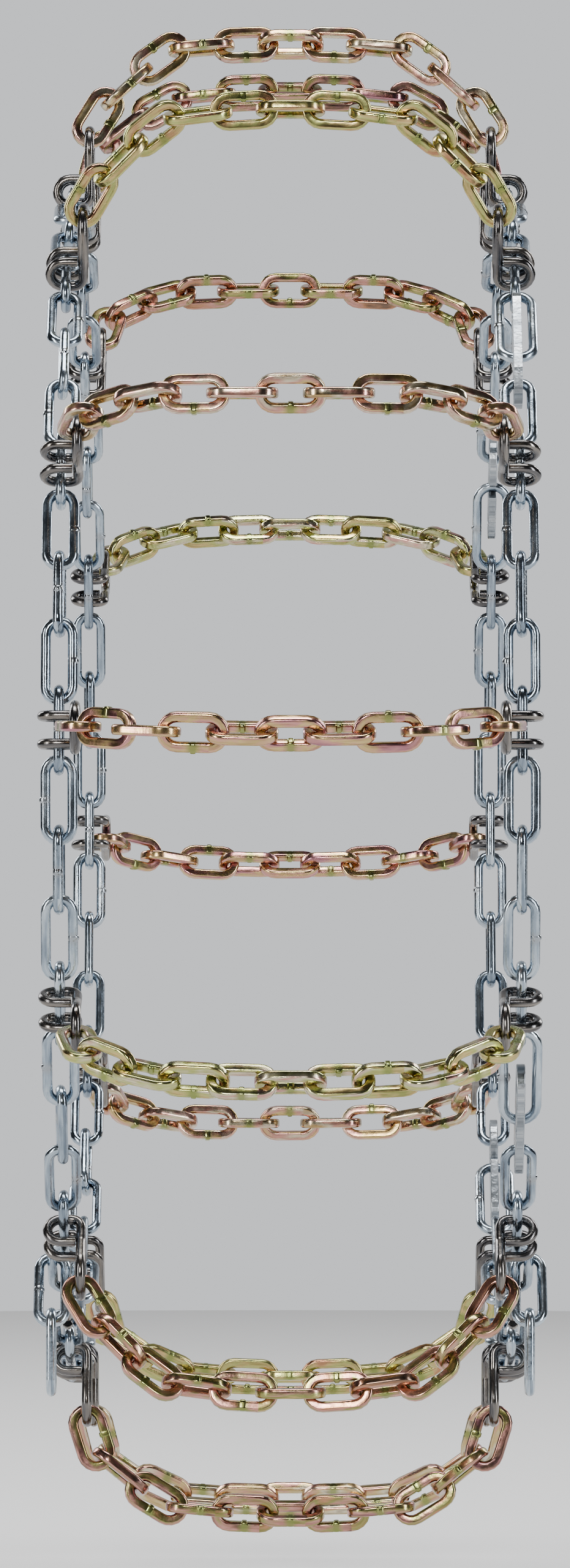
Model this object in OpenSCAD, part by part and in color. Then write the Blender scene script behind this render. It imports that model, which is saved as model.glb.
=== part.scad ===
// Ladder-type truck tire chain with cams, in the shape it takes on the tire.
// The origin is the tire's middle, on its axle. X is the axle, and +X is the outer side, with the cams.
// A turn angle goes round X from +Y towards +Z. At a turn, local +Y is radial and +Z is along the tire.

/* [Side chains] */
// Distance from the tire's middle plane to the middle of each side chain
side_offset = 157.25; // [155:0.25:160]
// Distance between the contact points of a side link
side_pitch = 47.5; // [47:0.25:48]
// Wire diameter of the side links
side_wire = 7; // [6.6:0.1:7]
// Outside width of a side link
side_width = 25.5; // [25.5:0.1:26]
// Free play where two links meet
side_play = 0.5; // [0.4:0.1:0.8]
// Turn angle of the first cross chain's hooks
first_turn = 97.9; // [90:0.1:110]

/* [Cross chains] */
// Distance between the contact points of a cross link
cross_pitch = 32.5; // [32.3:0.1:32.7]
// Thickness of the square bar of the cross links
cross_bar = 7.3; // [7:0.1:7.3]
// Outside width of a cross link
cross_width = 27.6; // [27.4:0.1:28]
// Bevel on the edges of the square bar
cross_bevel = 1.2; // [1:0.1:1.4]
// Free play where two cross links meet
cross_play = 2; // [1.8:0.1:2.1]
// Radius of the middle line of a cross chain on the tread
tread_seat = 539; // [538.5:0.5:539.5]
// Distance that each cross chain has crept round the tread, in millimetres
creep = [-43, -43, 14, 13, 9, 43, 28, 16, -12, 8, -18, 12, -9, 20]; // [-43:1:43]

/* [Hooks] */
// Wire diameter of the cross-chain hooks
hook_wire = 7; // [6.6:0.1:7]
// Distance between the two prongs of a hook
hook_spread = 19; // [18.5:0.1:19]
// Radius of the hook's bow
bow_radius = 15; // [14.9:0.02:15.1]
// Straight length of the shanks before they flare
shank_rise = 9.5; // [9:0.1:10]
// Radius of the prong's bend round the bar
prong_bend = 9.2; // [9.1:0.1:9.3]

/* [Cams] */
// Thickness of a cam plate
cam_thick = 6; // [5:0.5:6.2]
// Distance between the contact points of the large link
cam_link_pitch = 63; // [62:0.5:64]
// Outside width of the large link
cam_link_width = 30; // [29:0.5:31]
// Distance from a cam's pivot to the far end of its arm
cam_arm = 76; // [70:1:77]
// Radius of a cam's bore for the wrench
wrench_radius = 6.75; // [5:0.25:8]

/* [Hidden] */
$fn = 32;

INNER = -1;
OUTER = 1;

// The ladder: 14 cross chains, one to every fourth side link.
cross_count = 14;
gap_links = 4;
link_turn = 360 / (cross_count * gap_links);
gap_turn = 360 / cross_count;
ring_radius = side_pitch / (2 * sin(link_turn / 2));
chord_radius = ring_radius * cos(link_turn / 2);
// Gaps of the outer side chain that hold a cam.
cam_gaps = [2, 5, 9, 12];
// The gap where the ladder's two ends are joined.
closing_gap = 6;
closing_mouth = 10;

// A side link's bow radius and straight length, to the middle of its wire.
side_bend = (side_width - side_wire) / 2;
side_straight = side_pitch + 2 * side_wire + side_play - side_width;

// Cross chains: 11 links whose bows lie in each other.
cross_links = 11;
cross_length = cross_pitch + 2 * cross_bar + cross_play;
// A cross chain folds at the bow centres of its odd links, so odd stretches are short and even ones long.
odd_stretch = cross_length - cross_width;
even_stretch = 2 * cross_pitch - odd_stretch;
// Fall of each stretch from the tread's middle to the shoulder, in degrees.
fall = [0, 2, 5, 22];
// Extra fall at the shoulder for each millimetre of creep.
creep_fall = 0.3;
// Share of the creep that is left at the end of each of those stretches.
creep_share = [1, 0.97, 0.86, 0.73];
// Roll of each link about its own length, from lying with a bow each way to leaning 45 degrees.
roll = [0, 0, 4, 16, 30, 44, 30, 16, 4, 0, 0];
// Play of the hook's wire in the end link.
end_play = 1;

// Hooks.
bar_radius = chord_radius + side_bend;
prong_length = 8.2;
prong_back = 2;
shank_inset = 12;
shank_bend = 7;
// The legs flare by an angle whose sine is 0.28, which makes its cosine 0.96.
hook_flare = asin(0.28);
flare_bend = 10.5;
// Slide and tip of a hook for each millimetre of creep.
creep_slide = 3 / 43;
creep_tip = 6.5 / 43;
leg_length = (bow_radius * cos(hook_flare) - hook_spread / 2 - flare_bend * (1 - cos(hook_flare)))
    / sin(hook_flare);
// Distance from the side link's bar to the wire at the top of the hook's bow.
hook_reach = shank_bend - prong_bend + shank_rise + flare_bend * sin(hook_flare)
    + leg_length * cos(hook_flare) + bow_radius * (1 + sin(hook_flare));

// Cams: the arc between the large link and the next side link is what the three other links leave.
function chord_turn(chord) = 2 * asin(chord / (2 * ring_radius));
cam_turn = 3 * link_turn - chord_turn(cam_link_pitch) - chord_turn(side_pitch);
cam_pitch = 2 * ring_radius * sin(cam_turn / 2);
// Distance between the two wires that a cam joins.
cam_seat = cam_pitch - side_wire - side_play;
cam_base_radius = 17.5;
cam_tip_radius = 14;
cam_clear = 0.7;
pivot_bore = side_wire / 2 + 1.4;
// The arm leans outwards, so that the wrench reaches its bore past the large link.
cam_lean = 8;
slot_inner = cam_seat - side_wire / 2 - cam_clear;
slot_outer = cam_seat + side_wire / 2 + 2 * cam_clear;
slot_turn = 80;

steel = [0.72, 0.75, 0.78];
gold = [0.75, 0.68, 0.42];
gunmetal = [0.22, 0.22, 0.24];

// Vector helpers.
function unit(v) = v / norm(v);
function around(v, axis, angle) = v * cos(angle) + cross(axis, v) * sin(angle);
function on_tread(x, radius, shift) =
    let (angle = shift / radius * 180 / PI) [x, radius * cos(angle), radius * sin(angle)];

module at_turn(turn) {
    rotate([turn, 0, 0]) children();
}

// Sets children's X along a link and their Z square to its plane.
module along(from, to, normal) {
    x_axis = unit(to - from);
    z_axis = unit(normal - (normal * x_axis) * x_axis);
    y_axis = cross(z_axis, x_axis);
    middle = (from + to) / 2;
    multmatrix([
        [x_axis[0], y_axis[0], z_axis[0], middle[0]],
        [x_axis[1], y_axis[1], z_axis[1], middle[1]],
        [x_axis[2], y_axis[2], z_axis[2], middle[2]]
    ]) children();
}

// A welded link of round wire, lying in the XY plane along X.
module round_link(pitch, width, wire) {
    bend = (width - wire) / 2;
    straight = pitch + 2 * wire + side_play - width;
    for (end = [0, 180]) {
        rotate([0, 0, end]) translate([straight / 2, 0, 0]) rotate([0, 0, -90])
            rotate_extrude(angle = 180) translate([bend, 0]) circle(d = wire);
    }
    for (side = [-bend, bend]) {
        translate([-straight / 2, side, 0]) rotate([0, 90, 0]) cylinder(d = wire, h = straight);
    }
}

// The bevelled square section of the cross links' bar.
module bar_section() {
    half = cross_bar / 2;
    flat = half - cross_bevel;
    polygon([
        [half, -flat], [half, flat], [flat, half], [-flat, half],
        [-half, flat], [-half, -flat], [-flat, -half], [flat, -half]
    ]);
}

// A welded link of square bar, lying in the XY plane along X.
module square_link() {
    bend = (cross_width - cross_bar) / 2;
    for (end = [0, 180]) {
        rotate([0, 0, end]) translate([odd_stretch / 2, 0, 0]) rotate([0, 0, -90])
            rotate_extrude(angle = 180) translate([bend, 0]) bar_section();
    }
    for (side = [-bend, bend]) {
        translate([-odd_stretch / 2, side, 0]) rotate([90, 0, 90])
            linear_extrude(height = odd_stretch) bar_section();
    }
}

// Side links: gap g holds links 0 to 3, and link 0 carries the hooks of cross chain g.
function link_center_turn(gap, link) = first_turn + (gap - 1) * gap_turn + link * link_turn;
// Small lean of each link from square, as loose links have. The hook links stand square.
function link_lean(gap, link) =
    link == 0 || (gap == closing_gap && link < 3) ? 0 : 7 * sin(gap * 97 + link * 61);

module side_link(side, gap, link) {
    at_turn(link_center_turn(gap, link))
        translate([side * side_offset, chord_radius, 0])
        rotate([0, 0, (link % 2 == 0 ? 90 : 0) + link_lean(gap, link)])
        rotate([90, 0, 0]) rotate([0, 0, 90]) round_link(side_pitch, side_width, side_wire);
}

function has_cam(side, gap) = side == OUTER && len(search(gap, cam_gaps)) > 0;

module side_chain(side, piece) {
    color(steel) for (gap = [2 * piece - 1, 2 * piece]) {
        for (link = [0 : gap_links - 1]) {
            taken_by_cam = has_cam(side, gap) && (link == 1 || link == 2);
            taken_by_hook = gap == closing_gap && link == 2;
            if (!taken_by_cam && !taken_by_hook) side_link(side, gap, link);
        }
    }
}

// Turns of the contact points at the two ends of gap g's large link.
function cam_link_turn(gap) = link_center_turn(gap, 0) + link_turn / 2;
function cam_start_turn(gap) = cam_link_turn(gap) + chord_turn(cam_link_pitch);

module cam_link(number) {
    turn = cam_link_turn(cam_gaps[number - 1]) + chord_turn(cam_link_pitch) / 2;
    color(steel) at_turn(turn)
        translate([side_offset, ring_radius * cos(chord_turn(cam_link_pitch) / 2), 0])
        rotate([90, 0, 0]) rotate([0, 0, 90]) round_link(cam_link_pitch, cam_link_width, side_wire);
}

// Outline of a cam: two round ends joined by straight sides. Y runs from the pivot along the arm.
function arc_points(center, radius, start, end) = [
    for (i = [0 : 12])
        let (angle = start + (end - start) * i / 12)
        center + radius * [cos(angle), sin(angle)]
];
cam_side_angle = asin((cam_base_radius - cam_tip_radius) / (cam_arm - cam_tip_radius));
cam_outline = concat(
    arc_points([0, 0], cam_base_radius, 180 - cam_side_angle, 360 + cam_side_angle),
    arc_points([0, cam_arm - cam_tip_radius], cam_tip_radius, cam_side_angle, 180 - cam_side_angle)
);

// A flat cam: pivot bore, arc slot that the large link's bow rides in, and a bore for the wrench.
module cam_plate() {
    difference() {
        rotate([0, 0, cam_lean]) translate([0, 0, -cam_thick / 2])
            linear_extrude(height = cam_thick) polygon(cam_outline);
        cylinder(r = pivot_bore, h = 2 * cam_thick, center = true);
        rotate([0, 0, cam_lean]) translate([0, cam_arm - cam_tip_radius, 0])
            cylinder(r = wrench_radius, h = 2 * cam_thick, center = true);
        translate([0, 0, -cam_thick]) rotate([0, 0, 90 - slot_turn]) rotate_extrude(angle = slot_turn)
            translate([slot_inner, 0]) square([slot_outer - slot_inner, 2 * cam_thick]);
        translate([0, (slot_inner + slot_outer) / 2, 0])
            cylinder(d = slot_outer - slot_inner, h = 2 * cam_thick, center = true);
    }
}

module cam(number) {
    gap = cam_gaps[number - 1];
    chord_middle = cam_start_turn(gap) + cam_turn / 2;
    color(steel) at_turn(chord_middle)
        translate([side_offset, ring_radius * cos(cam_turn / 2), cam_seat / 2])
        rotate([0, 90, 0]) rotate([0, 0, -90]) cam_plate();
}

// Pieces of bent wire: each draws itself along +Z and puts its children at its end. A bend turns towards -X.
module wire_line(length) {
    cylinder(d = hook_wire, h = length);
    translate([0, 0, length]) children();
}

module wire_bend(radius, angle) {
    translate([-radius, 0, 0]) {
        rotate([90, 0, 0]) rotate_extrude(angle = angle) translate([radius, 0]) circle(d = hook_wire);
        rotate([0, -angle, 0]) translate([radius, 0, 0]) children();
    }
}

module wire_roll(angle) {
    rotate([0, 0, angle]) children();
}

// A double-pronged hook. The origin is the middle of the side link's bar, +X faces away from the tire.
module cross_hook() {
    prong = prong_length + prong_back;
    back = prong_back + shank_inset - shank_bend;
    translate([-prong_length, prong_bend, -hook_spread / 2]) rotate([90, 0, 90])
        wire_line(prong) wire_bend(prong_bend, 180) wire_line(back) wire_bend(shank_bend, 90)
        wire_line(shank_rise) wire_roll(90) wire_bend(flare_bend, hook_flare) wire_line(leg_length)
        wire_roll(180) wire_bend(bow_radius, 180 + 2 * hook_flare) wire_line(leg_length)
        wire_roll(180) wire_bend(flare_bend, hook_flare) wire_line(shank_rise)
        wire_roll(-90) wire_bend(shank_bend, 90) wire_line(back)
        wire_bend(prong_bend, 180) wire_line(prong);
}

function hook_slide(number) = creep[number - 1] * creep_slide;
function hook_tip(number) = creep[number - 1] * creep_tip;
// Middle of the wire at the top of the hook's bow, in the frame of the cross chain's turn.
function hook_top(side, number) = [
    side * (side_offset - shank_inset),
    bar_radius + hook_reach * cos(hook_tip(number)),
    hook_slide(number) + hook_reach * sin(hook_tip(number))
];

module hooks(number) {
    color(gunmetal) at_turn(link_center_turn(number, 0)) {
        for (side = [INNER, OUTER]) {
            translate([side * side_offset, bar_radius, hook_slide(number)])
                rotate([hook_tip(number), 0, 0]) scale([side, 1, 1]) cross_hook();
        }
    }
}

// Fold points of one half of a cross chain, from its middle link out to the hook.
stretches = [even_stretch / 2, odd_stretch, even_stretch, odd_stretch];
function fall_at(i, number) = fall[i] + (i == 3 ? creep_fall * abs(creep[number - 1]) : 0);
function fold_radius(i, number) =
    i < 0 ? tread_seat : fold_radius(i - 1, number) - stretches[i] * sin(fall_at(i, number));
function fold_shift(i, number) = creep[number - 1] * (i < 0 ? 1 : creep_share[i]);
function fold_x(i, number) =
    i < 0 ? 0 :
    let (
        here = on_tread(0, fold_radius(i, number), fold_shift(i, number)),
        before = on_tread(0, fold_radius(i - 1, number), fold_shift(i - 1, number)),
        drop = norm(here - before)
    )
    fold_x(i - 1, number) + sqrt(stretches[i] * stretches[i] - drop * drop);
function crown_fold(side, i, number) =
    on_tread(side * fold_x(i, number), fold_radius(i, number), fold_shift(i, number));
// The last two stretches reach from the shoulder to the hook, bulging away from the tire.
function knee(side, number) =
    let (
        shoulder = crown_fold(side, 3, number),
        top = hook_top(side, number),
        span = norm(top - shoulder),
        last = odd_stretch + end_play,
        way = (top - shoulder) / span,
        reach = (even_stretch * even_stretch - last * last + span * span) / (2 * span),
        outward = [side, 1, 0],
        away = unit(outward - (outward * way) * way)
    )
    shoulder + reach * way + sqrt(max(0, even_stretch * even_stretch - reach * reach)) * away;
function end_fold(side, number) =
    let (from = knee(side, number))
    from + odd_stretch * unit(hook_top(side, number) - from);
function half_folds(side, number) = [
    for (i = [0 : 3]) crown_fold(side, i, number),
    knee(side, number),
    end_fold(side, number)
];
function reversed(list) = [for (i = [len(list) - 1 : -1 : 0]) list[i]];
function folds(number) = concat(reversed(half_folds(INNER, number)), half_folds(OUTER, number));

// Direction square to the plane of link i. The links roll against the way that the chain has crept.
function link_normal(number, from, to, i) =
    let (
        way = unit(to - from),
        outward = unit(cross([0, 0, 1], way)),
        angle = (i % 2 == 1 ? 90 : 0) + sign(creep[number - 1]) * roll[i - 1]
    )
    around(outward, way, angle);

module cross_chain(number) {
    fold = folds(number);
    color(gold) at_turn(link_center_turn(number, 0)) {
        for (i = [1 : cross_links]) {
            along(fold[i - 1], fold[i], link_normal(number, fold[i - 1], fold[i], i)) square_link();
        }
    }
}

// The closing hook is an open link of the side chain, with a gap in its radially outer bar.
module closing_hook(side) {
    color(gunmetal) at_turn(link_center_turn(closing_gap, 2))
        translate([side * side_offset, chord_radius, 0])
        rotate([0, 0, 90]) rotate([90, 0, 0]) rotate([0, 0, 90]) difference() {
            round_link(side_pitch, side_width, side_wire);
            translate([side_straight / 2 - closing_mouth - 1, -side_width, -side_wire])
                cube([closing_mouth, side_width, 2 * side_wire]);
        }
}

// Spare tail links hang from the outer bar of the closing gap's first link.
tail_hang = side_bend - side_wire - side_play;
tail_turn = link_center_turn(closing_gap, 1);
function tail_anchor(side) = [side * (side_offset + side_bend), chord_radius, 0];
function tail_way(i) =
    i == 1 ? [0, 1, 0] : [0, -sin(tail_turn), -cos(tail_turn)];
function tail_normal(i) = i == 1 ? [0, 0, 1] : [1, 0, 0];
function tail_pin(side, i) =
    i == 1 ? tail_anchor(side) : tail_start(side, 1) + side_straight * tail_way(1) + [0, side_bend, 0];
function tail_start(side, i) = tail_pin(side, i) + tail_hang * tail_way(i);

module tail(side, i) {
    start = tail_start(side, i);
    color(steel) at_turn(tail_turn)
        along(start, start + side_straight * tail_way(i), tail_normal(i))
        round_link(side_pitch, side_width, side_wire);
}

side_chain(INNER, 1);  // inner_side_chain_1
side_chain(INNER, 2);  // inner_side_chain_2
side_chain(INNER, 3);  // inner_side_chain_3
side_chain(INNER, 4);  // inner_side_chain_4
side_chain(INNER, 5);  // inner_side_chain_5
side_chain(INNER, 6);  // inner_side_chain_6
side_chain(INNER, 7);  // inner_side_chain_7
side_chain(OUTER, 1);  // outer_side_chain_1
side_chain(OUTER, 2);  // outer_side_chain_2
side_chain(OUTER, 3);  // outer_side_chain_3
side_chain(OUTER, 4);  // outer_side_chain_4
side_chain(OUTER, 5);  // outer_side_chain_5
side_chain(OUTER, 6);  // outer_side_chain_6
side_chain(OUTER, 7);  // outer_side_chain_7
cross_chain(1);  // cross_chain_01
cross_chain(2);  // cross_chain_02
cross_chain(3);  // cross_chain_03
cross_chain(4);  // cross_chain_04
cross_chain(5);  // cross_chain_05
cross_chain(6);  // cross_chain_06
cross_chain(7);  // cross_chain_07
cross_chain(8);  // cross_chain_08
cross_chain(9);  // cross_chain_09
cross_chain(10);  // cross_chain_10
cross_chain(11);  // cross_chain_11
cross_chain(12);  // cross_chain_12
cross_chain(13);  // cross_chain_13
cross_chain(14);  // cross_chain_14
hooks(1);  // hooks_01
hooks(2);  // hooks_02
hooks(3);  // hooks_03
hooks(4);  // hooks_04
hooks(5);  // hooks_05
hooks(6);  // hooks_06
hooks(7);  // hooks_07
hooks(8);  // hooks_08
hooks(9);  // hooks_09
hooks(10);  // hooks_10
hooks(11);  // hooks_11
hooks(12);  // hooks_12
hooks(13);  // hooks_13
hooks(14);  // hooks_14
cam(1);  // cam_1
cam(2);  // cam_2
cam(3);  // cam_3
cam(4);  // cam_4
cam_link(1);  // cam_link_1
cam_link(2);  // cam_link_2
cam_link(3);  // cam_link_3
cam_link(4);  // cam_link_4
closing_hook(INNER);  // inner_closing_hook
closing_hook(OUTER);  // outer_closing_hook
tail(INNER, 1);  // inner_tail_1
tail(INNER, 2);  // inner_tail_2
tail(OUTER, 1);  // outer_tail_1
tail(OUTER, 2);  // outer_tail_2
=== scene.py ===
"""Looks of a truck tire chain: drawn-wire links, square cross links with welds, double hooks and cams."""

import math
import random

import bmesh
import bpy
from mathutils import Matrix, Vector


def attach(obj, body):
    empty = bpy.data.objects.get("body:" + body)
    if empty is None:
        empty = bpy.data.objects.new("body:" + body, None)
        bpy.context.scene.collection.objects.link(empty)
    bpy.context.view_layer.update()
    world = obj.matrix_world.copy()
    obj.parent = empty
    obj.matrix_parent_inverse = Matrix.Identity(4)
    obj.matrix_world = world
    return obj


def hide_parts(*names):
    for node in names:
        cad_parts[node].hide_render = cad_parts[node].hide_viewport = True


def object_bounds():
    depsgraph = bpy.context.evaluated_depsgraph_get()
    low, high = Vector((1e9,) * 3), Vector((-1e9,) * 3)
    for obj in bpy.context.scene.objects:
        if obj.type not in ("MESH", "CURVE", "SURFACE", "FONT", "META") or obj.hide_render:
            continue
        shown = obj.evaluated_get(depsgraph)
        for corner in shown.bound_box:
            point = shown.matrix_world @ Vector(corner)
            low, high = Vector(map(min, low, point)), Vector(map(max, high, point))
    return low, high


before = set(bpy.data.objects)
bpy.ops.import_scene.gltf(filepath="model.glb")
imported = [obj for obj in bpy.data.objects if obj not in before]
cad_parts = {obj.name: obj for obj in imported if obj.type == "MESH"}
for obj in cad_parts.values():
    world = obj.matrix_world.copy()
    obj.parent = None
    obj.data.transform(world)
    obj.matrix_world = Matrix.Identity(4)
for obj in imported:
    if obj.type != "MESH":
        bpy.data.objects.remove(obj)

CAD_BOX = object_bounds()
MM = 0.001
random.seed(7)

# Layout, in millimetres and degrees, as in the CAD part. A turn goes round X from +Y towards +Z.

# The side chains: two closed rings of links, with a cross chain at every fourth link.
SIDE_OFFSET, SIDE_PITCH, SIDE_WIRE, SIDE_WIDTH, SIDE_PLAY = 157.25, 47.5, 7.0, 25.5, 0.5
FIRST_TURN, CROSS_COUNT, GAP_LINKS, GAPS_PER_PIECE = 97.9, 14, 4, 2
# Side links lean by up to the first of these. The others spread the leans round the ring.
LEAN_SWING, LEAN_GAP_STEP, LEAN_LINK_STEP = 7, 97, 61
CAM_LINK_PITCH, CAM_LINK_WIDTH = 63.0, 30.0
CAM_GAPS = [2, 5, 9, 12]
CLOSING_GAP, CLOSING_LINK, CLOSING_MOUTH = 6, 2, 10.0

# The cross chains. Creep is how far round the tread a chain's middle has slipped.
CROSS_PITCH, CROSS_BAR, CROSS_WIDTH, CROSS_BEVEL, CROSS_PLAY = 32.5, 7.3, 27.6, 1.2, 2.0
CROSS_LINKS, TREAD_SEAT, END_PLAY = 11, 539.0, 1.0
CREEP = [-43, -43, 14, 13, 9, 43, 28, 16, -12, 8, -18, 12, -9, 20]
# From the tread's middle outwards: how far each link dips, and how much of the creep is left.
FALL = [0, 2, 5, 22]
CREEP_SHARE = [1, 0.97, 0.86, 0.73]
# Extra dip of the shoulder's link, in degrees for each millimetre of creep.
CREEP_FALL = 0.3
# How far each link from one end to the other is rolled about its own length.
ROLL = [0, 0, 4, 16, 30, 44, 30, 16, 4, 0, 0]

# The hooks. For each millimetre of creep they slide so many millimetres and tip so many degrees.
HOOK_SPREAD, BOW_RADIUS, SHANK_RISE, PRONG_BEND = 19.0, 15.0, 9.5, 9.2
PRONG_LENGTH, PRONG_BACK, SHANK_INSET, SHANK_BEND, FLARE_BEND = 8.2, 2.0, 12.0, 7.0, 10.5
HOOK_SLIDE, HOOK_TIP = 3 / 43, 6.5 / 43

GAP_TURN = 360 / CROSS_COUNT
LINK_TURN = GAP_TURN / GAP_LINKS
RING_RADIUS = SIDE_PITCH / (2 * math.sin(math.radians(LINK_TURN / 2)))
CHORD_RADIUS = RING_RADIUS * math.cos(math.radians(LINK_TURN / 2))
SIDE_BEND = (SIDE_WIDTH - SIDE_WIRE) / 2
SIDE_STRAIGHT = SIDE_PITCH + 2 * SIDE_WIRE + SIDE_PLAY - SIDE_WIDTH
BAR_RADIUS = CHORD_RADIUS + SIDE_BEND
ODD_STRETCH = CROSS_PITCH + 2 * CROSS_BAR + CROSS_PLAY - CROSS_WIDTH
EVEN_STRETCH = 2 * CROSS_PITCH - ODD_STRETCH
# The flare's angle has this sine and cosine: 7, 24 and 25 are the sides of a right triangle.
FLARE_SIN, FLARE_COS = 0.28, 0.96
HOOK_FLARE = math.degrees(math.asin(FLARE_SIN))
LEG_LENGTH = (BOW_RADIUS * FLARE_COS - HOOK_SPREAD / 2 - FLARE_BEND * (1 - FLARE_COS)) / FLARE_SIN
HOOK_REACH = (SHANK_BEND - PRONG_BEND + SHANK_RISE + FLARE_BEND * FLARE_SIN
              + LEG_LENGTH * FLARE_COS + BOW_RADIUS * (1 + FLARE_SIN))
INNER, OUTER = -1, 1
SIDE_NAMES = {INNER: "inner", OUTER: "outer"}


# ---------------------------------------------------------------- layout

def at_turn(turn):
    return Matrix.Rotation(math.radians(turn), 4, "X")


def spin(axis, angle):
    return Matrix.Rotation(math.radians(angle), 4, axis)


def move(x, y, z):
    return Matrix.Translation((x, y, z))


def link_turn(gap, link):
    return FIRST_TURN + (gap - 1) * GAP_TURN + link * LINK_TURN


def link_lean(gap, link):
    if link == 0 or (gap == CLOSING_GAP and link <= CLOSING_LINK):
        return 0
    return LEAN_SWING * math.sin(math.radians(gap * LEAN_GAP_STEP + link * LEAN_LINK_STEP))


def upright_link():
    """Turns a link that lies along X in the XY plane to run along Z, with its flat sides facing along Y."""
    return spin("X", 90) @ spin("Z", 90)


def side_link_place(side, gap, link):
    lean = (90 if link % 2 == 0 else 0) + link_lean(gap, link)
    return (at_turn(link_turn(gap, link)) @ move(side * SIDE_OFFSET, CHORD_RADIUS, 0)
            @ spin("Z", lean) @ upright_link())


def chord_turn(chord):
    return 2 * math.degrees(math.asin(chord / (2 * RING_RADIUS)))


def cam_link_place(gap):
    half = chord_turn(CAM_LINK_PITCH) / 2
    turn = link_turn(gap, 0) + LINK_TURN / 2 + half
    radius = RING_RADIUS * math.cos(math.radians(half))
    return at_turn(turn) @ move(SIDE_OFFSET, radius, 0) @ upright_link()


def on_tread(radius, shift):
    angle = shift / radius
    return Vector((0, radius * math.cos(angle), radius * math.sin(angle)))


def hook_top(side, number):
    slide, tip = CREEP[number] * HOOK_SLIDE, math.radians(CREEP[number] * HOOK_TIP)
    return Vector((side * (SIDE_OFFSET - SHANK_INSET), BAR_RADIUS + HOOK_REACH * math.cos(tip),
                   slide + HOOK_REACH * math.sin(tip)))


def half_folds(side, number):
    """Fold points of half a cross chain, from the tread's middle out to the hook."""
    creep = CREEP[number]
    radius, x = TREAD_SEAT, 0.0
    before = on_tread(radius, creep)
    points = []
    for i, stretch in enumerate((EVEN_STRETCH / 2, ODD_STRETCH, EVEN_STRETCH, ODD_STRETCH)):
        fall = FALL[i]
        if i == len(FALL) - 1:
            fall += CREEP_FALL * abs(creep)
        radius -= stretch * math.sin(math.radians(fall))
        here = on_tread(radius, creep * CREEP_SHARE[i])
        x += math.sqrt(stretch ** 2 - (here - before).length_squared)
        points.append(Vector((side * x, here.y, here.z)))
        before = here
    shoulder, top = points[-1], hook_top(side, number)
    span = (top - shoulder).length
    way = (top - shoulder) / span
    last = ODD_STRETCH + END_PLAY
    reach = (EVEN_STRETCH ** 2 - last ** 2 + span ** 2) / (2 * span)
    outward = Vector((side, 1, 0))
    away = (outward - outward.dot(way) * way).normalized()
    knee = shoulder + reach * way + math.sqrt(max(0, EVEN_STRETCH ** 2 - reach ** 2)) * away
    points.append(knee)
    points.append(knee + ODD_STRETCH * (top - knee).normalized())
    return points


def between(start, end, normal):
    """Sets X along the line from start to end, and Z square to the plane that normal gives."""
    x = (end - start).normalized()
    z = (normal - normal.dot(x) * x).normalized()
    y = z.cross(x)
    place = Matrix((x, y, z)).transposed().to_4x4()
    place.translation = (start + end) / 2
    return place


def cross_link_places(number):
    folds = half_folds(INNER, number)[::-1] + half_folds(OUTER, number)
    sense = 1 if CREEP[number] > 0 else -1
    turn = at_turn(link_turn(number + 1, 0))
    places = []
    for i in range(CROSS_LINKS):
        start, end = folds[i], folds[i + 1]
        way = (end - start).normalized()
        outward = Vector((0, 0, 1)).cross(way).normalized()
        angle = (90 if i % 2 == 0 else 0) + sense * ROLL[i]
        normal = Matrix.Rotation(math.radians(angle), 3, way) @ outward
        places.append(turn @ between(start, end, normal))
    return places


def tail_places(side):
    hang = SIDE_BEND - SIDE_WIRE - SIDE_PLAY
    turn = link_turn(CLOSING_GAP, CLOSING_LINK - 1)
    anchor = Vector((side * (SIDE_OFFSET + SIDE_BEND), CHORD_RADIUS, 0))
    out = Vector((0, 1, 0))
    down = Vector((0, -math.sin(math.radians(turn)), -math.cos(math.radians(turn))))
    first = anchor + hang * out
    pin = first + SIDE_STRAIGHT * out + SIDE_BEND * out
    second = pin + hang * down
    return [at_turn(turn) @ between(first, first + SIDE_STRAIGHT * out, Vector((0, 0, 1))),
            at_turn(turn) @ between(second, second + SIDE_STRAIGHT * down, Vector((1, 0, 0)))]


# ---------------------------------------------------------------- meshes

# The "path" texture coordinates run in metres along the wire, and reach this far once round it.
UV_ROUND = 0.03
# At a wire's cut end the section narrows to this scale, over this many millimetres.
CUT_SCALE, MOUTH_CUT_SCALE, CUT_LENGTH = 0.86, 0.85, 0.5
# How far a closing hook's mouth lies from the end of its straight bar.
MOUTH_INSET = 1
# Degrees of a wire's bend from one ring to the next.
BEND_STEP = 18
# The groove beside a weld: where it ends and where it is deepest, from the bead's edge, and the scale there.
GROOVE_END, GROOVE_DEEP, GROOVE_SCALE = 0.9, 0.35, 0.94


def round_section(diameter, count=14):
    return [(math.cos(2 * math.pi * i / count) * diameter / 2,
             math.sin(2 * math.pi * i / count) * diameter / 2) for i in range(count)]


def square_section(side, bevel, steps=3):
    """A square bar with rolled edges. Each edge's arc just touches the flat bevel of the CAD's bar."""
    radius = bevel / (2 - math.sqrt(2))
    half, points = side / 2 - radius, []
    for corner in range(4):
        for i in range(steps + 1):
            angle = math.pi / 2 * i / steps
            point = Vector((half + radius * math.cos(angle), half + radius * math.sin(angle)))
            turned = Matrix.Rotation(math.pi / 2 * corner, 2) @ point
            points.append((turned.x, turned.y))
    return points


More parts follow.
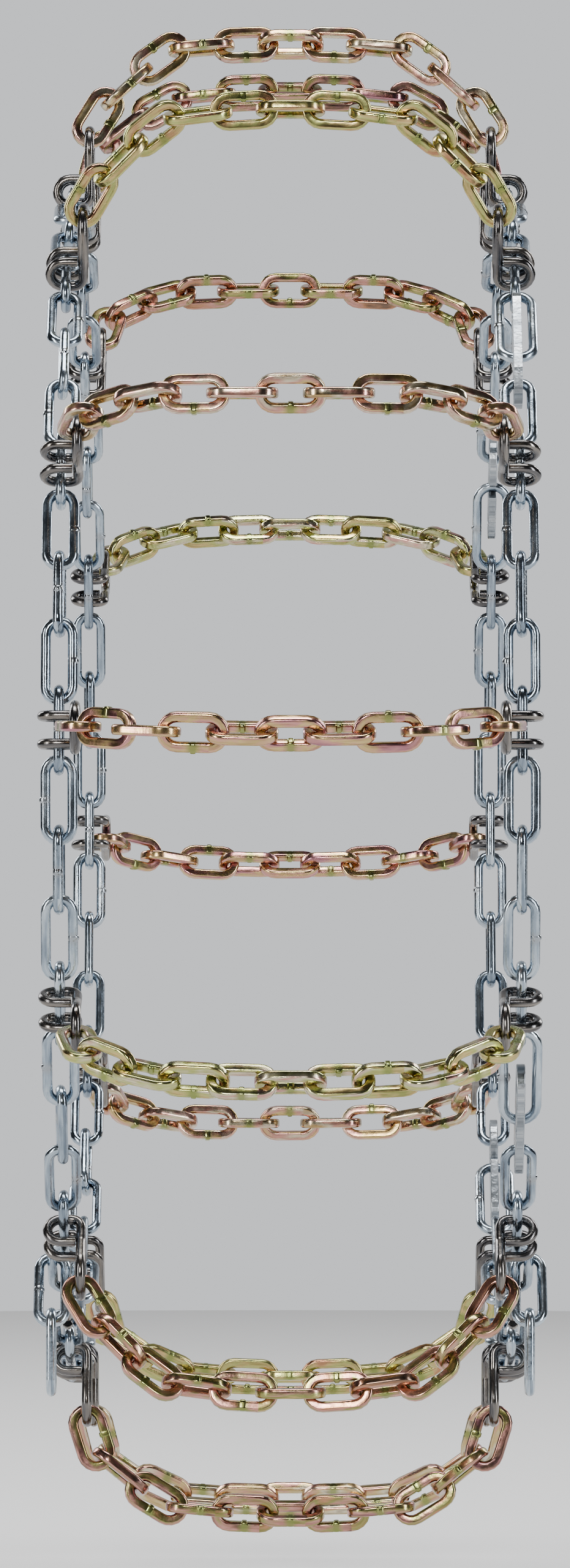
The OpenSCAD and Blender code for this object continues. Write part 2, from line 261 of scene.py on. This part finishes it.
def sweep(mesh, uv, rings, section, closed, place):
    """Skins rings of (centre, u direction, v direction, scale, bump, distance) with a section.

    A positive bump raises the side of the section that faces along u, and a negative one the other side.
    """
    rows = []
    for centre, u_way, v_way, scale, bump, _ in rings:
        row = []
        for u, v in section:
            raised = bump * min(1, 2 * abs(u) / SIDE_WIRE) if u * bump > 0 else 0
            point = centre + u_way * (u * scale + raised) + v_way * v * scale
            row.append(mesh.verts.new(place @ point * MM))
        rows.append(row)
    count = len(section)
    pairs = list(zip(range(len(rows)), range(1, len(rows))))
    if closed:
        pairs.append((len(rows) - 1, 0))
    for a, b in pairs:
        start, end = rings[a][-1], rings[b][-1]
        if b == 0:
            end = start + rings[a][-1] - rings[a - 1][-1]
        for i in range(count):
            j = (i + 1) % count
            face = mesh.faces.new((rows[a][i], rows[a][j], rows[b][j], rows[b][i]))
            face.smooth = True
            marks = ((start, i), (start, i + 1), (end, i + 1), (end, i))
            for loop, (along, across) in zip(face.loops, marks):
                loop[uv].uv = (along * MM, across / count * UV_ROUND)
    if not closed:
        mesh.faces.new(rows[0][::-1])
        mesh.faces.new(rows[-1])


def link_rings(straight, bend, bead, weld_half=1.5, arc_steps=9):
    """Rings round a link's loop, in its plane. Distance 0 is the weld, in the middle of one bar.

    The weld is a bead between two shallow grooves, and it stands out of the loop where bead is positive.
    """
    rings, flat = [], Vector((0, 0, 1))
    # Along half of the welded bar: distance from the weld's middle, the bar's scale, share of the bead.
    near_half = [(straight / 2, 1, 0), (weld_half + GROOVE_END, 1, 0),
                 (weld_half + GROOVE_DEEP, GROOVE_SCALE, 0), (weld_half, 0.98, 0.8), (weld_half / 2, 1, 1)]
    far_half = [(-x, scale, rise) for x, scale, rise in reversed(near_half)]
    for x, scale, rise in near_half + far_half:
        rings.append((Vector((x, bend, 0)), Vector((0, 1, 0)), flat, scale, rise * bead, -x))
    distance = straight / 2
    for side, start in ((-1, 90), (1, 270)):
        # The first arc starts where the welded bar's last ring already is.
        for i in range(1 if side == -1 else 0, arc_steps + 1):
            angle = math.radians(start + 180 * i / arc_steps)
            out = Vector((math.cos(angle), math.sin(angle), 0))
            centre = Vector((side * straight / 2, 0, 0)) + out * bend
            rings.append((centre, out, flat, 1, 0, distance + bend * math.pi * i / arc_steps))
        distance += bend * math.pi + straight
    # The last ring would be the first one again.
    return rings[:-1]


def hook_rings():
    """Rings along a hook's wire. The origin is the middle of the bar, +X faces away from the tire."""
    place = Matrix(((0, 0, 1, -PRONG_LENGTH), (1, 0, 0, PRONG_BEND),
                    (0, 1, 0, -HOOK_SPREAD / 2), (0, 0, 0, 1)))
    prong, back = PRONG_LENGTH + PRONG_BACK, PRONG_BACK + SHANK_INSET - SHANK_BEND
    steps = [("line", prong), ("bend", PRONG_BEND, 180), ("line", back), ("bend", SHANK_BEND, 90),
             ("line", SHANK_RISE), ("roll", 90), ("bend", FLARE_BEND, HOOK_FLARE), ("line", LEG_LENGTH),
             ("roll", 180), ("bend", BOW_RADIUS, 180 + 2 * HOOK_FLARE), ("line", LEG_LENGTH),
             ("roll", 180), ("bend", FLARE_BEND, HOOK_FLARE), ("line", SHANK_RISE), ("roll", -90),
             ("bend", SHANK_BEND, 90), ("line", back), ("bend", PRONG_BEND, 180), ("line", prong)]
    rings, distance, rolled = [], 0.0, 0.0

    def ring(scale=1.0):
        # The section keeps its own heading when the frame rolls, so the skin doesn't twist.
        steady = place @ spin("Z", -rolled)
        axes = steady.to_3x3()
        rings.append((place.translation.copy(), axes.col[0].copy(), axes.col[1].copy(), scale, 0, distance))

    ring(CUT_SCALE)
    start = place
    place = start @ move(0, 0, CUT_LENGTH)
    ring()
    place = start
    for step in steps:
        if step[0] == "line":
            place = place @ move(0, 0, step[1])
            distance += step[1]
            ring()
        elif step[0] == "roll":
            place = place @ spin("Z", step[1])
            rolled += step[1]
        else:
            radius, angle = step[1], step[2]
            pieces = max(2, round(angle / BEND_STEP))
            for _ in range(pieces):
                place = place @ move(-radius, 0, 0) @ spin("Y", -angle / pieces) @ move(radius, 0, 0)
                distance += radius * math.radians(angle / pieces)
                ring()
    end, u_way, v_way, _, _, distance = rings.pop()
    back_a_bit = u_way.cross(v_way) * -CUT_LENGTH
    rings.append((end + back_a_bit, u_way, v_way, 1.0, 0, distance - CUT_LENGTH))
    rings.append((end, u_way, v_way, CUT_SCALE, 0, distance))
    return rings


def finish_object(name, mesh, material, weigh_normals=True):
    data = bpy.data.meshes.new(name)
    bmesh.ops.recalc_face_normals(mesh, faces=mesh.faces)
    mesh.to_mesh(data)
    mesh.free()
    data.materials.append(material)
    thing = bpy.data.objects.new(name, data)
    bpy.context.scene.collection.objects.link(thing)
    if weigh_normals:
        # Leans the smooth shading towards the larger faces, so that a square bar's flats look flat.
        flats = thing.modifiers.new("keep_flats", "WEIGHTED_NORMAL")
        flats.keep_sharp = True
        flats.weight = 70
    return thing


def new_mesh():
    mesh = bmesh.new()
    return mesh, mesh.loops.layers.uv.new("path")


def tie(thing, body, slot, *nodes):
    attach(thing, body)
    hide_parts(*nodes)


# ---------------------------------------------------------------- materials

def node_tools(name):
    material = bpy.data.materials.new(name)
    material.use_nodes = True
    nodes, links = material.node_tree.nodes, material.node_tree.links
    return material, nodes, links, nodes["Principled BSDF"]


def noise_from(nodes, links, source, scale, detail, stretch=(1, 1, 1), roughness=0.5):
    mapping = nodes.new("ShaderNodeMapping")
    mapping.inputs["Scale"].default_value = stretch
    links.new(source, mapping.inputs["Vector"])
    noise = nodes.new("ShaderNodeTexNoise")
    noise.inputs["Scale"].default_value = scale
    noise.inputs["Detail"].default_value = detail
    noise.inputs["Roughness"].default_value = roughness
    links.new(mapping.outputs["Vector"], noise.inputs["Vector"])
    return noise.outputs["Fac"]


def ramp(nodes, links, source, stops):
    node = nodes.new("ShaderNodeValToRGB")
    elements = node.color_ramp.elements
    while len(elements) < len(stops):
        elements.new(0.5)
    for element, (place, colour) in zip(elements, stops):
        element.position = place
        element.color = (*colour, 1)
    links.new(source, node.inputs["Fac"])
    return node.outputs["Color"]


def blend(nodes, links, fac, first, second, mode="MIX"):
    """Mixes two colours. The factor may be a plain number, and the second colour a plain colour."""
    mix = nodes.new("ShaderNodeMix")
    mix.data_type = "RGBA"
    mix.blend_type = mode
    if isinstance(fac, float):
        mix.inputs["Factor"].default_value = fac
    else:
        links.new(fac, mix.inputs["Factor"])
    links.new(first, mix.inputs["A"])
    if isinstance(second, tuple):
        mix.inputs["B"].default_value = (*second, 1)
    else:
        links.new(second, mix.inputs["B"])
    return mix.outputs["Result"]


def spread(nodes, links, source, low, high, from_low=0.3, from_high=0.7):
    node = nodes.new("ShaderNodeMapRange")
    node.inputs["From Min"].default_value = from_low
    node.inputs["From Max"].default_value = from_high
    node.inputs["To Min"].default_value = low
    node.inputs["To Max"].default_value = high
    links.new(source, node.inputs["Value"])
    return node.outputs["Result"]


# Noise scales: along and round the wire for the plating's film and the drawn streaks, and in the
# piece's own space for smears, fine pits and broad dents.
FILM_SCALE, FILM_STRETCH = 85, (0.35, 1.3, 1)
STREAK_SCALE, STREAK_STRETCH = 900, (0.05, 1, 1)
SMEAR_SCALE, PIT_SCALE, DENT_SCALE = 70, 900, 160
# How far each link's own random number moves its piece of the film and the streaks.
LINK_SHIFT = (3.1, 1.7, 0)
# How strongly the streaks stain the film, and the ramp positions where a streak is full and gone.
STAIN_SHARE, STAIN_FULL, STAIN_GONE = 0.6, 0.32, 0.55
# Strengths of the fine and the broad bumps, and how many times deeper the broad ones are.
FINE_BUMP, BROAD_BUMP, BROAD_DEPTH = 0.35, 0.5, 5
# The weld's heat tint: its strength, and how many metres from the weld it starts to fade and ends.
HEAT, HEAT_FULL, HEAT_END = 0.85, 0.0015, 0.0055


def metal(name, stops, stain, rough, bump_depth, per_link, weld_colour=None):
    """Plated steel: a shade of its own for each link, drawn streaks, fine pits and heat round the weld."""
    material, nodes, links, shader = node_tools(name)
    coordinates = nodes.new("ShaderNodeTexCoord")
    body, path = coordinates.outputs["Object"], coordinates.outputs["UV"]
    island = nodes.new("ShaderNodeNewGeometry").outputs["Random Per Island"]
    own_path = nodes.new("ShaderNodeVectorMath")
    own_path.operation = "MULTIPLY_ADD"
    links.new(island, own_path.inputs[0])
    own_path.inputs[1].default_value = LINK_SHIFT
    links.new(path, own_path.inputs[2])
    film = noise_from(nodes, links, own_path.outputs["Vector"], FILM_SCALE, 3, stretch=FILM_STRETCH)
    total = nodes.new("ShaderNodeMath")
    total.operation = "MULTIPLY_ADD"
    links.new(island, total.inputs[0])
    total.inputs[1].default_value = per_link
    links.new(spread(nodes, links, film, -per_link / 2, 1 - per_link / 2), total.inputs[2])
    colour = ramp(nodes, links, total.outputs[0], stops)
    streaks = noise_from(nodes, links, own_path.outputs["Vector"], STREAK_SCALE, 4, stretch=STREAK_STRETCH)
    stained = ramp(nodes, links, streaks, ((STAIN_FULL, stain), (STAIN_GONE, (1, 1, 1))))
    colour = blend(nodes, links, STAIN_SHARE, colour, stained, "MULTIPLY")
    if weld_colour:
        along = nodes.new("ShaderNodeSeparateXYZ")
        links.new(path, along.inputs[0])
        from_weld = nodes.new("ShaderNodeMath")
        from_weld.operation = "ABSOLUTE"
        links.new(along.outputs["X"], from_weld.inputs[0])
        heat = spread(nodes, links, from_weld.outputs[0], HEAT, 0.0, HEAT_FULL, HEAT_END)
        colour = blend(nodes, links, heat, colour, weld_colour)
    links.new(colour, shader.inputs["Base Color"])
    shader.inputs["Metallic"].default_value = 1.0
    smears = noise_from(nodes, links, body, SMEAR_SCALE, 5)
    links.new(spread(nodes, links, smears, *rough), shader.inputs["Roughness"])
    pits = noise_from(nodes, links, body, PIT_SCALE, 6, roughness=0.65)
    dents = noise_from(nodes, links, body, DENT_SCALE, 2)
    fine = nodes.new("ShaderNodeBump")
    fine.inputs["Strength"].default_value = FINE_BUMP
    fine.inputs["Distance"].default_value = bump_depth
    links.new(pits, fine.inputs["Height"])
    broad = nodes.new("ShaderNodeBump")
    broad.inputs["Strength"].default_value = BROAD_BUMP
    broad.inputs["Distance"].default_value = bump_depth * BROAD_DEPTH
    links.new(dents, broad.inputs["Height"])
    links.new(fine.outputs["Normal"], broad.inputs["Normal"])
    links.new(broad.outputs["Normal"], shader.inputs["Normal"])
    return material


# Colours of the chromate film, and the seven mixes of them that repeat round the tire.
PALE, GOLD, HONEY = (0.62, 0.55, 0.40), (0.55, 0.41, 0.18), (0.40, 0.27, 0.12)
ROSE, MAUVE, COPPER = (0.54, 0.27, 0.23), (0.38, 0.17, 0.20), (0.45, 0.23, 0.13)
OLIVE, LIME, UMBER = (0.26, 0.27, 0.09), (0.40, 0.43, 0.15), (0.17, 0.11, 0.08)
WELD_OLIVE = (0.20, 0.24, 0.07)
CHROMATES = [
    ("chromate_champagne", (UMBER, PALE, GOLD, ROSE, PALE)),
    ("chromate_green_gold", (OLIVE, GOLD, LIME, GOLD, COPPER)),
    ("chromate_rose_gold", (HONEY, GOLD, ROSE, PALE, HONEY)),
    ("chromate_magenta", (MAUVE, ROSE, GOLD, ROSE, MAUVE)),
    ("chromate_olive", (OLIVE, GOLD, LIME, PALE, ROSE)),
    ("chromate_brown", (UMBER, COPPER, ROSE, OLIVE, GOLD)),
    ("chromate_dusk", (MAUVE, UMBER, ROSE, OLIVE, COPPER)),
]


# A mix's ramp: where its first colour is, and the step to each of the others.
FIRST_STOP, STOP_STEP = 0.04, 0.23


def chromate(name, colours):
    stops = [(FIRST_STOP + STOP_STEP * i, colour) for i, colour in enumerate(colours)]
    return metal(name, stops, stain=(0.42, 0.38, 0.30), rough=(0.13, 0.30), bump_depth=0.00006,
                 per_link=0.35, weld_colour=WELD_OLIVE)


def steel(name, dark, middle, light, **looks):
    return metal(name, ((0.1, dark), (0.5, middle), (0.9, light)), **looks)


ZINC = steel("bright_zinc", (0.17, 0.21, 0.26), (0.32, 0.38, 0.44), (0.50, 0.56, 0.61),
             stain=(0.50, 0.55, 0.60), rough=(0.12, 0.30), bump_depth=0.00008,
             per_link=0.35, weld_colour=(0.30, 0.32, 0.34))
DARK = steel("dark_steel", (0.060, 0.060, 0.066), (0.13, 0.125, 0.125), (0.22, 0.20, 0.18),
             stain=(0.50, 0.48, 0.46), rough=(0.14, 0.30), bump_depth=0.00008, per_link=0.3)
PLATE = steel("cam_plate", (0.20, 0.22, 0.24), (0.34, 0.37, 0.40), (0.48, 0.50, 0.52),
              stain=(0.40, 0.42, 0.44), rough=(0.24, 0.46), bump_depth=0.00025, per_link=0.2)
GOLDS = [chromate(name, colours) for name, colours in CHROMATES]


# ---------------------------------------------------------------- pieces

WIRE_SECTION = round_section(SIDE_WIRE)
BAR_SECTION = square_section(CROSS_BAR, CROSS_BEVEL)
# How far the weld beads stand out of the bar. A bead faces into the loop where this is negative.
SIDE_BEAD, TAIL_BEAD, CROSS_BEAD, CROSS_WELD_HALF = 0.8, -0.6, 0.9, 1.7
SIDE_RINGS = link_rings(SIDE_STRAIGHT, SIDE_BEND, SIDE_BEAD)
TAIL_RINGS = link_rings(SIDE_STRAIGHT, SIDE_BEND, TAIL_BEAD)
LARGE_BEND = (CAM_LINK_WIDTH - SIDE_WIRE) / 2
LARGE_STRAIGHT = CAM_LINK_PITCH + 2 * SIDE_WIRE + SIDE_PLAY - CAM_LINK_WIDTH
LARGE_RINGS = link_rings(LARGE_STRAIGHT, LARGE_BEND, SIDE_BEAD)
CROSS_BEND = (CROSS_WIDTH - CROSS_BAR) / 2
OUT_RINGS = link_rings(ODD_STRETCH, CROSS_BEND, CROSS_BEAD, CROSS_WELD_HALF)
IN_RINGS = link_rings(ODD_STRETCH, CROSS_BEND, -CROSS_BEAD, CROSS_WELD_HALF)
HOOK_RINGS = hook_rings()


def weld_side():
    """Turns a link over, or not: the weld is on either bar at random."""
    return spin("X", 180) if random.random() < 0.5 else Matrix()


def make_side_chain(side, piece):
    mesh, uv = new_mesh()
    first_gap = GAPS_PER_PIECE * (piece - 1) + 1
    for gap in range(first_gap, first_gap + GAPS_PER_PIECE):
        for link in range(GAP_LINKS):
            # A cam's large link takes the place of two links.
            cam_here = side == OUTER and gap in CAM_GAPS and link in (1, 2)
            hook_here = gap == CLOSING_GAP and link == CLOSING_LINK
            if not cam_here and not hook_here:
                flip = weld_side()
                sweep(mesh, uv, SIDE_RINGS, WIRE_SECTION, True, side_link_place(side, gap, link) @ flip)
    name = f"{SIDE_NAMES[side]}_side_chain_{piece}"
    tie(finish_object(name + "_wire", mesh, ZINC), "side_chains", "zinc_steel", name)


def make_cross_chain(number):
    mesh, uv = new_mesh()
    for i, place in enumerate(cross_link_places(number)):
        flip = weld_side()
        # Only a link that lies flat can carry its bead outwards and stay inside the CAD's box.
        lies_flat = i % 2 == 1 and i != CROSS_LINKS // 2
        sweep(mesh, uv, OUT_RINGS if lies_flat else IN_RINGS, BAR_SECTION, True, place @ flip)
    name = f"cross_chain_{number + 1:02d}"
    thing = finish_object(name + "_links", mesh, GOLDS[number % len(GOLDS)])
    tie(thing, name, "gold_zinc_steel", name)


def make_hooks(number):
    mesh, uv = new_mesh()
    slide, tip = CREEP[number] * HOOK_SLIDE, CREEP[number] * HOOK_TIP
    for side in (INNER, OUTER):
        place = (at_turn(link_turn(number + 1, 0)) @ move(side * SIDE_OFFSET, BAR_RADIUS, slide)
                 @ spin("X", tip) @ Matrix.Diagonal((side, 1, 1, 1)))
        sweep(mesh, uv, HOOK_RINGS, WIRE_SECTION, False, place)
    name = f"hooks_{number + 1:02d}"
    tie(finish_object(name + "_wire", mesh, DARK), name, "dark_steel", name)


def make_cam_link(number):
    mesh, uv = new_mesh()
    sweep(mesh, uv, LARGE_RINGS, WIRE_SECTION, True, cam_link_place(CAM_GAPS[number - 1]))
    name = f"cam_link_{number}"
    tie(finish_object(name + "_wire", mesh, ZINC), "side_chains", "zinc_steel", name)


def make_closing_hook(side):
    """A side link with a mouth in one bar: the wire runs from one lip round to the other."""
    mesh, uv = new_mesh()
    first_lip = SIDE_STRAIGHT / 2 - MOUTH_INSET
    last_lip = first_lip - CLOSING_MOUTH
    rings, distance = [], 0.0
    flat, down = Vector((0, 0, 1)), Vector((0, -1, 0))

    def add(centre, out, scale=1.0):
        rings.append((centre, out, flat, scale, 0, distance))

    for x, scale in ((first_lip, MOUTH_CUT_SCALE), (first_lip + CUT_LENGTH, 1.0)):
        add(Vector((x, -SIDE_BEND, 0)), down, scale)
    for end, first in ((1, 270), (-1, 90)):
        for i in range(180 // BEND_STEP + 1):
            angle = math.radians(first + BEND_STEP * i)
            out = Vector((math.cos(angle), math.sin(angle), 0))
            distance += SIDE_BEND * math.radians(BEND_STEP)
            add(Vector((end * SIDE_STRAIGHT / 2, 0, 0)) + out * SIDE_BEND, out)
        distance += SIDE_STRAIGHT
    for x, scale in ((last_lip - CUT_LENGTH, 1.0), (last_lip, MOUTH_CUT_SCALE)):
        add(Vector((x, -SIDE_BEND, 0)), down, scale)
    sweep(mesh, uv, rings, WIRE_SECTION, False, side_link_place(side, CLOSING_GAP, CLOSING_LINK))
    name = f"{SIDE_NAMES[side]}_closing_hook"
    tie(finish_object(name + "_wire", mesh, DARK), "side_chains", "dark_steel", name)


def make_tail(side):
    for i, place in enumerate(tail_places(side), 1):
        mesh, uv = new_mesh()
        sweep(mesh, uv, TAIL_RINGS, WIRE_SECTION, True, place)
        name = f"{SIDE_NAMES[side]}_tail_{i}"
        tie(finish_object(name + "_wire", mesh, ZINC), name, "zinc_steel", name)


# Vertices of a cam nearer than this, in metres, are one, and faces within this angle are one face.
SAME_POINT, SAME_FACE = 0.00001, 1
# The cam's broken edges: their width in metres, and the angle in degrees from which an edge is broken.
CAM_EDGE, CAM_EDGE_ANGLE = 0.0007, 50


def make_cam(number):
    """The CAD's own cam with its sheared edges broken."""
    name = f"cam_{number}"
    mesh = bmesh.new()
    mesh.from_mesh(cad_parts[name].data)
    bmesh.ops.remove_doubles(mesh, verts=mesh.verts, dist=SAME_POINT)
    bmesh.ops.dissolve_limit(mesh, angle_limit=math.radians(SAME_FACE), verts=mesh.verts, edges=mesh.edges)
    uv = mesh.loops.layers.uv.new("path")
    for face in mesh.faces:
        for loop in face.loops:
            loop[uv].uv = loop.vert.co.yz
    thing = finish_object(name + "_plate", mesh, PLATE, weigh_normals=False)
    edges = thing.modifiers.new("broken_edges", "BEVEL")
    edges.width = CAM_EDGE
    edges.segments = 2
    edges.angle_limit = math.radians(CAM_EDGE_ANGLE)
    edges.use_clamp_overlap = True
    tie(thing, name, "cam_plate_zinc", name)


for side in (INNER, OUTER):
    for piece in range(1, CROSS_COUNT // GAPS_PER_PIECE + 1):
        make_side_chain(side, piece)
    make_closing_hook(side)
    make_tail(side)
for number in range(CROSS_COUNT):
    make_cross_chain(number)
    make_hooks(number)
for number in range(1, len(CAM_GAPS) + 1):
    make_cam_link(number)
    make_cam(number)


# ---------------------------------------------------------------- studio

# From here on lengths are in metres.
FLOOR_RADIUS, FLOOR_DROP, FLOOR_PALE, FLOOR_ROUGH = 3.6, 0.08, 0.80, 0.9
# The camera stands at the axle's height, a long way off as in a catalogue picture. Lens in millimetres.
CAMERA_PLACE, CAMERA_LENS, CAMERA_SENSOR = (-0.0038, -5.8, 0), 182, 36


def make_floor():
    """A round pale floor a hand's breadth under the chain."""
    material, _, _, shader = node_tools("pale_floor")
    shader.inputs["Base Color"].default_value = (FLOOR_PALE, FLOOR_PALE, FLOOR_PALE, 1)
    shader.inputs["Roughness"].default_value = FLOOR_ROUGH
    mesh = bmesh.new()
    bmesh.ops.create_circle(mesh, cap_ends=True, segments=96, radius=FLOOR_RADIUS,
                            matrix=move(0, 0, CAD_BOX[0][2] - FLOOR_DROP))
    data = bpy.data.meshes.new("floor")
    mesh.to_mesh(data)
    mesh.free()
    data.materials.append(material)
    floor = bpy.data.objects.new("floor", data)
    bpy.context.scene.collection.objects.link(floor)


def make_light(name, place, size, power, colour=(1, 1, 1)):
    """A soft rectangular light that faces the middle of the wheel."""
    lamp = bpy.data.lights.new(name, "AREA")
    lamp.shape = "RECTANGLE"
    lamp.size, lamp.size_y = size
    lamp.energy = power
    lamp.color = colour
    thing = bpy.data.objects.new(name, lamp)
    thing.location = place
    thing.rotation_euler = (-Vector(place)).to_track_quat("-Z", "Y").to_euler()
    bpy.context.scene.collection.objects.link(thing)


def make_camera():
    lens = bpy.data.cameras.new("camera")
    lens.sensor_fit = "VERTICAL"
    lens.sensor_height = CAMERA_SENSOR
    lens.lens = CAMERA_LENS
    camera = bpy.data.objects.new("camera", lens)
    camera.location = CAMERA_PLACE
    camera.rotation_euler = (math.radians(90), 0, 0)
    bpy.context.scene.collection.objects.link(camera)
    bpy.context.scene.camera = camera


# The world's strength on the camera's side and behind the chain, and the headings between which it grows.
WORLD_DIM, WORLD_PALE, HEADING_DIM, HEADING_PALE = 0.05, 0.95, 0.45, 0.9


def make_world():
    """Soft grey all round, growing paler behind the chain as the camera sees it."""
    world = bpy.data.worlds.new("studio")
    world.use_nodes = True
    nodes, links = world.node_tree.nodes, world.node_tree.links
    heading = nodes.new("ShaderNodeSeparateXYZ")
    links.new(nodes.new("ShaderNodeTexCoord").outputs["Generated"], heading.inputs[0])
    pale = spread(nodes, links, heading.outputs["Y"], WORLD_DIM, WORLD_PALE, HEADING_DIM, HEADING_PALE)
    links.new(pale, nodes["Background"].inputs["Strength"])
    nodes["Background"].inputs["Color"].default_value = (0.85, 0.87, 0.90, 1)
    bpy.context.scene.world = world


make_camera()
make_world()
make_floor()
make_light("front_high", (-0.9, -7.0, 2.2), (1.2, 1.6), 210, (1.0, 0.99, 0.97))
make_light("left", (-3.4, -2.6, 0.8), (0.6, 3.0), 110, (1.0, 0.98, 0.95))
make_light("right", (3.4, -2.2, 0.8), (0.6, 3.0), 110, (0.93, 0.96, 1.0))
make_light("top", (0.0, -0.4, 3.4), (2.4, 0.8), 130)
make_light("back_left", (-2.4, 2.0, 1.6), (0.6, 2.0), 60)
make_light("back_right", (2.4, 2.0, 1.6), (0.6, 2.0), 60)
